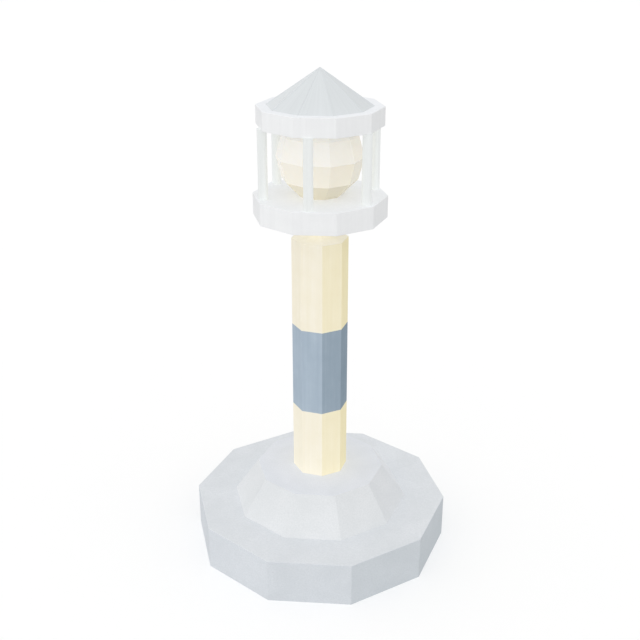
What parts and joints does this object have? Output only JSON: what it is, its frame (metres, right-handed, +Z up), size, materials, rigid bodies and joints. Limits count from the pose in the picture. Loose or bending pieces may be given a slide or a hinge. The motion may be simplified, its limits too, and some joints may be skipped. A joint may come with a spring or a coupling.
{
  "type": "lighthouse",
  "caption": "Slender octagonal lighthouse with a painted band on a stepped, faceted base, and an open lantern of round posts with a faceted globe under a pyramid roof.",
  "frame": {"origin": "centre of the plinth's underside, on the ground", "axes": "+Z up along the shaft's axis; +X through a corner of the plinth, a corner of the shaft and a lantern post; +Y completes a right-handed frame"},
  "size_m": [5.4, 5.1358, 10.065],
  "materials": {
    "plinth_concrete": "smooth cast concrete, pale grey",
    "apron_concrete": "smooth cast concrete, lighter grey",
    "cream_render": "matt cream masonry paint on render",
    "blue_render": "matt slate-blue masonry paint on render",
    "white_render": "matt white masonry paint on concrete",
    "white_steel": "satin white paint",
    "roof_sheet": "light grey coated sheet, satin",
    "opal_glass": "warm white opal glass panes"
  },
  "bodies": {
    "root": {"plinth": "plinth_concrete", "apron": "apron_concrete", "lower_wall_1": "cream_render", "lower_wall_2": "cream_render", "lower_wall_3": "cream_render", "lower_wall_4": "cream_render", "lower_wall_5": "cream_render", "lower_wall_6": "cream_render", "lower_wall_7": "cream_render", "lower_wall_8": "cream_render", "band_wall_1": "blue_render", "band_wall_2": "blue_render", "band_wall_3": "blue_render", "band_wall_4": "blue_render", "band_wall_5": "blue_render", "band_wall_6": "blue_render", "band_wall_7": "blue_render", "band_wall_8": "blue_render", "upper_wall_1": "cream_render", "upper_wall_2": "cream_render", "upper_wall_3": "cream_render", "upper_wall_4": "cream_render", "upper_wall_5": "cream_render", "upper_wall_6": "cream_render", "upper_wall_7": "cream_render", "upper_wall_8": "cream_render", "shaft_cap": "cream_render", "neck": "cream_render", "gallery_deck": "white_render", "lantern_post_1": "white_steel", "lantern_post_2": "white_steel", "lantern_post_3": "white_steel", "lantern_post_4": "white_steel", "lantern_post_5": "white_steel", "lantern_post_6": "white_steel", "ring_beam": "white_render", "roof": "roof_sheet", "lamp_globe": "opal_glass"}
  },
  "joints": []
}
